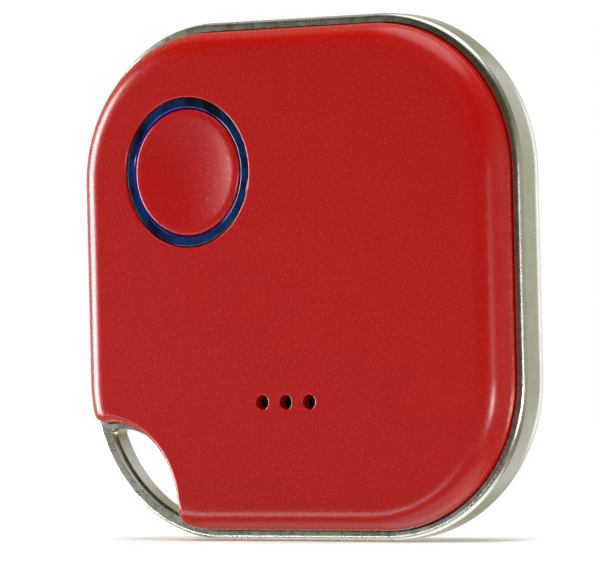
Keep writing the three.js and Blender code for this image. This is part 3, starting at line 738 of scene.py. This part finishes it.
def lip_levels():
    """The front of the frame: its round edge and the lip, which slopes a little on the right."""
    levels = []
    edge = frame_outline(0)
    pairs = [*quarter_round(0, EDGE_R, SEAM_Z - EDGE_R, SEAM_Z), (LIP_SLOPE_IN, SEAM_Z)]
    for inset, z in pairs:
        points = []
        for rim, point in zip(edge, frame_outline(inset)):
            side = min(max((rim.x - SLOPE_FROM_X) / SLOPE_RAMP, 0), 1)
            drop = LIP_SLOPE * side * (1 - inset / LIP_SLOPE_IN)
            points.append((point.x, point.y, z - drop))
        levels.append(points)
    return levels


metal = lofted("frame_cast", levels_of(frame_outline, back_first(
    quarter_round(0, BACK_R, BACK_R, 0))) + lip_levels())
bend = back_first(quarter_round(-ROOM_GAP, MOUTH_INSET - 0.4, SKIRT_Z - ROOM_GAP, LID_Z))
metal = combined(metal, [
    lofted("frame_room", levels_of(cover_outline, [*bend, (-ROOM_GAP, SEAM_Z + 1)])),
    pulled("frame_mouth", cover_outline(MOUTH_INSET), -1, LID_Z + ROOM_GAP),
    pulled("loop_hole", loop_hole(0), -1, SEAM_Z + 1),
    pulled("loop_groove", loop_hole(GROOVE_DEEP), GROOVE_LOW_Z, GROOVE_TOP_Z),
    pulled("behind_bar", loop_corner(), -1, BAR_BACK_Z),
], "DIFFERENCE")
finished(metal, satin_nickel, "case", ["frame"])

# %% [markdown]
# ## The button and its light ring
#
# The button is a turned shape: a disc with a shallow dish for the fingertip, a narrow flat
# rim, and a collar underneath that keeps it from falling out. The dish is a parabola, 0.4
# mm deep, and it tilts the surface just enough to catch the light on one side. The ring is
# turned too, with small roundings on both edges, and it lies a little deeper than the face.


# %% Button
def rounding(radius, z, size, outwards):
    """Profile points round an edge, from its side to its top."""
    turns = [QUARTER * step / EDGE_STEPS for step in range(EDGE_STEPS + 1)]
    return [(radius - outwards * size * (1 - math.cos(turn)), z - size * (1 - math.sin(turn)))
            for turn in turns]


dish = [(DISH_R * step / DISH_STEPS, BUTTON_TOP - DISH_DEEP * (1 - (step / DISH_STEPS) ** 2))
        for step in range(DISH_STEPS - 1, -1, -1)]
button = turned("button_moulded", BUTTON_AT, [
    (0, HOLLOW_Z), (HOLLOW_R, HOLLOW_Z), (HOLLOW_R, COLLAR_LOW),
    (COLLAR_R, COLLAR_LOW), (COLLAR_R, BUTTON_UNDER), (BUTTON_R, BUTTON_UNDER),
    *rounding(BUTTON_R, BUTTON_TOP, BUTTON_EDGE, 1),
    (DISH_R + 0.04, BUTTON_TOP), (DISH_R, BUTTON_TOP - 0.004),
    *dish,
])
finished(button, red_abs, "button", ["button_cap"])

# %% Light ring
ring = turned("light_ring_moulded", BUTTON_AT, [
    (RING_FOOT_IN, RING_FOOT_LOW), (RING_FOOT_OUT, RING_FOOT_LOW),
    (RING_FOOT_OUT, RING_FOOT_TOP), (RING_OUT, RING_FOOT_TOP),
    *rounding(RING_OUT, RING_TOP, RING_EDGE, 1),
    *back_first(rounding(RING_IN, RING_TOP, RING_EDGE, -1)),
    (RING_IN, RING_SHELF), (RING_FOOT_IN, RING_SHELF), (RING_FOOT_IN, RING_FOOT_LOW),
])
finished(ring, blue_pc, "case", ["light_ring"])

# %% [markdown]
# ## The back cover
#
# The back cover is a plate with a rim that plugs into the frame. Its edge is softened so that
# it is pleasant to hold, a slot in the lower edge takes a fingernail or a coin, and four small
# ribs snap it in place.

# %% Back cover
plate = lofted("back_cover_moulded", levels_of(cover_outline, [
    *back_first(quarter_round(LID_INSET, LID_EDGE, LID_EDGE, 0.0)),
    (LID_INSET, LID_Z),
]))
rim = combined(
    pulled("plug_rim", cover_outline(RIM_INSET), LID_Z / 2, RIM_Z),
    [pulled("plug_room", cover_outline(ROOM_INSET), 0, RIM_Z + 1)],
    "DIFFERENCE",
)
ribs = []
for side in (-1, 1):
    near, far = sorted((side * RIB_IN, side * RIB_OUT))
    ribs.append(soft_box("snap_rib", (near, -2, 1.0), (far, 2, 1.3), 0.05))
    ribs.append(soft_box("snap_rib", (-2, near, 1.0), (2, far, 1.3), 0.05))
plate = combined(plate, [rim, *ribs], "UNION")
slot_cut = soft_box("pry_slot", (-3, -LID_HALF - 0.6, -1), (3, PRY_DEEP - LID_HALF, 0.42), 0.15)
plate = combined(plate, [slot_cut], "DIFFERENCE")
finished(plate, pale_abs, "back", ["back_cover"])

# %% [markdown]
# ## The coin cell
#
# A coin cell is two pressed steel cups, one inside the other, with a nylon ring between them.
# The large cup is the positive side, and the small one, towards the board, the negative. The
# turned profiles have the soft bends of pressed sheet, and the flat side carries the faint
# concentric step that the press leaves.

# %% Coin cell
can = turned("cell_can_pressed", CELL_AT, [
    (0, 0.80), (8.2, 0.80), (8.35, 0.75), (9.6, 0.75), (9.76, 0.78), (9.9, 0.88), (9.98, 1.02),
    (10, 1.15), (10, 3.35), (9.97, 3.48), (9.88, 3.58), (9.7, 3.65), (9.0, 3.65), (9.0, 3.05), (0, 3.05),
])
finished(can, inner["rolled_stainless"], "coin_cell", ["cell_can"])
seal = turned("cell_seal_nylon", CELL_AT, [
    (8.73, 3.08), (8.97, 3.08), (8.97, 3.60), (8.93, 3.65), (8.77, 3.65), (8.73, 3.60), (8.73, 3.08),
])
finished(seal, inner["glass_filled_nylon"], "coin_cell", ["cell_seal"])
cap = turned("cell_cap_pressed", CELL_AT, [
    (0, 3.08), (8.7, 3.08), (8.7, 3.65), (8.67, 3.76), (8.6, 3.85), (8.5, 3.92), (8.4, 3.95),
    (7.2, 3.95), (7.05, 3.90), (0, 3.90),
])
finished(cap, inner["rolled_stainless"], "coin_cell", ["cell_cap"])

# %% [markdown]
# ## The circuit board and what is soldered to it
#
# These pieces show when the case is lifted off. The measured solids already have the right
# shapes, so they only need their finishes. What they lack is the small bright things that
# make a board look real: end caps on the capacitors, legs round the chip, and solder.

# %% Finishes for the measured solids that stay
INNER_LOOKS = {
    "solder_mask_green": ["circuit_board"],
    "moulded_epoxy_black": ["radio_chip", "inductor", "sounder_driver", "sounder"],
    "fired_ceramic": ["chip_antenna", "reservoir_capacitor", "capacitor_1", "capacitor_2", "capacitor_3"],
    "rolled_stainless": ["radio_crystal", "switch_body"],
    "glass_filled_nylon": ["cell_holder", "switch_plunger"],
    "closed_cell_foam": ["sound_seal"],
    "gold_flash": ["positive_contact", "negative_contact"],
    "milky_epoxy": ["led_1", "led_2", "led_3", "led_4"],
}
for look, names in INNER_LOOKS.items():
    for name in names:
        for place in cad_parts[name].material_slots:
            place.material = inner[look]
print("dressed:", sum(len(names) for names in INNER_LOOKS.values()), "measured solids")


# %% Bright metal on the board
TIN = 0.03                   # thickness of the tin on an end cap
CAP_SHARE = 0.24             # part of a component's length that each cap covers
TO_BOARD = 0.04              # caps and legs reach this far down, onto the board
LEG_PITCH = 0.5
LEG_HALF = 0.12              # half the width of a leg
LEG_HIGH = 0.22              # how far up the chip's side it starts


def span(name):
    """A measured solid's box in drawing millimetres: x, y and height, low and high."""
    low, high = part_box(name)
    return ((low[0] / MM, low[2] / MM, -high[1] / MM), (high[0] / MM, high[2] / MM, -low[1] / MM))


def end_caps(name, along):
    """Tinned caps on both ends of a component, along x (0) or y (1)."""
    low, high = span(name)
    share = CAP_SHARE * (high[along] - low[along])
    caps = []
    for end in (0, 1):
        near = [low[0] - TIN, low[1] - TIN, low[2] - TIN]
        far = [high[0] + TIN, high[1] + TIN, high[2] + TO_BOARD]
        if end == 0:
            far[along] = low[along] + share
        else:
            near[along] = high[along] - share
        caps.append(soft_box("end_cap", near, far, TIN))
    return caps


tinned = []
for name, along in (("capacitor_1", 1), ("capacitor_2", 1), ("capacitor_3", 0),
                    ("reservoir_capacitor", 0), ("chip_antenna", 1), ("inductor", 1)):
    tinned += end_caps(name, along)
finished(merged("end_caps_tinned", tinned), inner["bright_solder"], "case")

# %% Legs of the chip
legs = []
low, high = span("radio_chip")
for place in range(-4, 5):
    for along in (0, 1):
        middle = (low[along] + high[along]) / 2 + place * LEG_PITCH
        across = 1 - along
        for edge, way in ((low[across], -1), (high[across], 1)):
            near = [0, 0, high[2] - LEG_HIGH]
            far = [0, 0, high[2] + TO_BOARD]
            near[along] = middle - LEG_HALF
            far[along] = middle + LEG_HALF
            near[across], far[across] = sorted((edge - way * 0.02, edge + way * 0.16))
            legs.append(soft_box("leg", near, far, 0.04))
finished(merged("chip_legs_tinned", legs), inner["bright_solder"], "case")

# %% [markdown]
# ## Floor, light and camera
#
# The tag stands on its lower edge on a white table in a white tent: the classic set-up for
# small products. The tent makes the plated rim pale, and a dark board hung on the camera's
# left gives the front of the metal something dark to mirror, which also keeps the red deep.
# The same thing could be built from large lamps and cards, but a painted sky is smoother and
# quicker to render. The floor is a small white disc, because a large one would draw a horizon
# line behind the tag.

# %% Floor
FLOOR_R = 250
FLOOR_THICK = 0.4
floor = turned("floor_disc", Vector((0, 0)), [
    (0, -FLOOR_THICK), (FLOOR_R, -FLOOR_THICK), (FLOOR_R, 0), (0, 0),
])
floor.data.transform(Matrix.Scale(MM, 4))
floor.location.z = MEASURED_BOX[0][2]
floor_paint, tree, where = new_finish("table_matt_white")
finish_off(
    tree,
    {"Roughness": 0.9, "Specular IOR Level": 0.1},
    {"Base Color": clouds(tree, where, 8.0, 2.0, "#fafafa", "#ffffff")},
)
floor.data.materials.append(floor_paint)
floor.visible_glossy = False
floor.visible_shadow = False

# %% [markdown]
# The sky is painted by direction. Its azimuth is 0 straight in front of the face and grows
# towards the tag's right. Each step of the table says how bright the tent is from one azimuth
# to the next. Above and below the middle band it is half as bright, and it is brightest right
# overhead and underfoot. The eye of the camera sees plain white instead, and everything else
# sees the painted tent.

# %% Sky
sky = bpy.data.worlds.new("white_tent")
bpy.context.scene.world = sky
sky.use_nodes = True
tree = sky.node_tree
tree.nodes.clear()

where = add_node(tree, "ShaderNodeTexCoord", {})
parts = add_node(tree, "ShaderNodeSeparateXYZ", {}, {0: where.outputs["Generated"]})
ahead = add_node(tree, "ShaderNodeMath", {"operation": "MULTIPLY", 1: -1.0},
                 {0: parts.outputs["Y"]})
azimuth = add_node(tree, "ShaderNodeMath", {"operation": "ARCTAN2"},
                   {0: parts.outputs["X"], 1: ahead.outputs[0]})
steep = add_node(tree, "ShaderNodeMath", {"operation": "ABSOLUTE"}, {0: parts.outputs["Z"]})
FROM_BEHIND = 0.8            # brightness of the tent behind the tag, on its left
# (azimuth in degrees where the change starts, where it ends, brightness after it)
TENT_STEPS = [(-85, -75, 0.06), (25, 80, 0.50), (148, 153, 0.36), (155, 160, 1.7)]
# (how it joins, what it follows, where it starts, where it ends, its value before and after)
changes = []
level = FROM_BEHIND
for start, end, after in TENT_STEPS:
    changes.append(("ADD", azimuth.outputs[0], math.radians(start), math.radians(end),
                    0.0, after - level))
    level = after
changes += [
    ("MULTIPLY", steep.outputs[0], 0.25, 0.45, 1.0, 0.5),
    ("ADD", parts.outputs["Z"], 0.84, 0.93, 0.0, 2.2),
    ("ADD", parts.outputs["Z"], -0.75, -0.88, 0.0, 1.4),
]
joined = {}
for operation, source, start, end, before, after in changes:
    step = add_node(
        tree, "ShaderNodeMapRange",
        {"interpolation_type": "SMOOTHSTEP", "From Min": start, "From Max": end,
         "To Min": before, "To Max": after},
        {"Value": source},
    )
    glow = add_node(tree, "ShaderNodeMath", {"operation": operation, 0: FROM_BEHIND},
                    {**joined, 1: step.outputs[0]})
    joined = {0: glow.outputs[0]}
brightness = glow.outputs[0]
tint = add_node(tree, "ShaderNodeMix", {"data_type": "RGBA", 6: (1.0, 0.98, 0.5, 1.0),
                                        7: (1.0, 1.0, 1.0, 1.0)}, {0: brightness})
lit = add_node(tree, "ShaderNodeBackground", {},
               {"Color": tint.outputs[2], "Strength": brightness})
plain = add_node(tree, "ShaderNodeBackground", {"Color": (1, 1, 1, 1), "Strength": 1.0})
path = add_node(tree, "ShaderNodeLightPath", {})
shown = add_node(tree, "ShaderNodeMixShader", {},
                 {0: path.outputs["Is Camera Ray"], 1: lit.outputs[0], 2: plain.outputs[0]})
add_node(tree, "ShaderNodeOutputWorld", {}, {"Surface": shown.outputs[0]})

# %% [markdown]
# Two kinds of lamp finish the light. Broad fill lamps brighten the colours but are hidden from
# reflections, so they lay no milky film over the red. Cards and a window show only as
# reflections: they draw the pale lines along the edges and the glint in the finger dish.
# A photographer does the same with large soft sources out of the mirror angle and small
# bright cards within it.


# %% Lamps
def lamp(name, azimuth_deg, height_deg, distance, size, power, mirrored_only):
    """A soft lamp that looks at the tag; size is its width and its height in metres."""
    light = bpy.data.lights.new(name, "AREA")
    light.shape = "ELLIPSE"
    light.size, light.size_y = size
    light.energy = power
    holder = bpy.data.objects.new(name, light)
    turn = math.radians(azimuth_deg)
    rise = math.radians(height_deg)
    way = Vector((math.sin(turn) * math.cos(rise), -math.cos(turn) * math.cos(rise), math.sin(rise)))
    holder.location = way * distance
    holder.rotation_euler = way.to_track_quat("Z", "Y").to_euler()
    holder.visible_diffuse = not mirrored_only
    holder.visible_glossy = mirrored_only
    bpy.context.scene.collection.objects.link(holder)


lamp("ceiling_fill", 0, 85, 0.6, (0.4, 0.4), 2.2, False)
lamp("front_fill", -10, 35, 0.6, (0.5, 0.5), 1.1, False)
lamp("right_fill", 105, 10, 0.6, (0.4, 0.4), 0.5, False)
lamp("window", -73, 0, 0.5, (0.2, 0.42), 4.2, True)
lamp("glint_lamp", 42, -14, 0.5, (0.10, 0.12), 0.9, True)
lamp("low_card", -42, -34, 0.5, (0.7, 0.03), 0.6, True)

# %% [markdown]
# The camera is a long lens, level with the tag and turned 34 degrees to its right, and leans
# by a little more than one degree. A long lens keeps the tag's far side nearly as large as
# its near side, as in a catalogue.

# %% Camera
camera = bpy.data.objects.new("portrait_camera", bpy.data.cameras.new("portrait_lens"))
bpy.context.scene.collection.objects.link(camera)
camera.data.sensor_width = 36.0
camera.data.lens = 314.8
camera.data.clip_start = 0.01
YAW = 0.596                  # turns of the tag before the lens, in radians
PITCH = -0.003
ROLL = 0.024
TAG_TO_LENS = Vector((-2.137, -0.21, 364.83))  # in drawing millimetres, seen from the lens
turn_y = Matrix(((math.cos(YAW), 0, -math.sin(YAW)), (0, 1, 0), (math.sin(YAW), 0, math.cos(YAW))))
turn_x = Matrix(((1, 0, 0), (0, math.cos(PITCH), -math.sin(PITCH)), (0, math.sin(PITCH), math.cos(PITCH))))
turn_z = Matrix(((math.cos(ROLL), -math.sin(ROLL), 0), (math.sin(ROLL), math.cos(ROLL), 0), (0, 0, 1)))
turned_view = turn_z @ turn_x @ turn_y
to_tag = Matrix(((1, 0, 0), (0, 0, -1), (0, 1, 0)))
place = to_tag @ (turned_view.transposed() @ TAG_TO_LENS)
stance = (to_tag @ turned_view.transposed()).to_4x4()
camera.matrix_world = Matrix.Translation(place * MM) @ stance
bpy.context.scene.camera = camera
bpy.context.scene.view_settings.view_transform = "Standard"
print("camera at", [round(value, 4) for value in camera.matrix_world.translation])
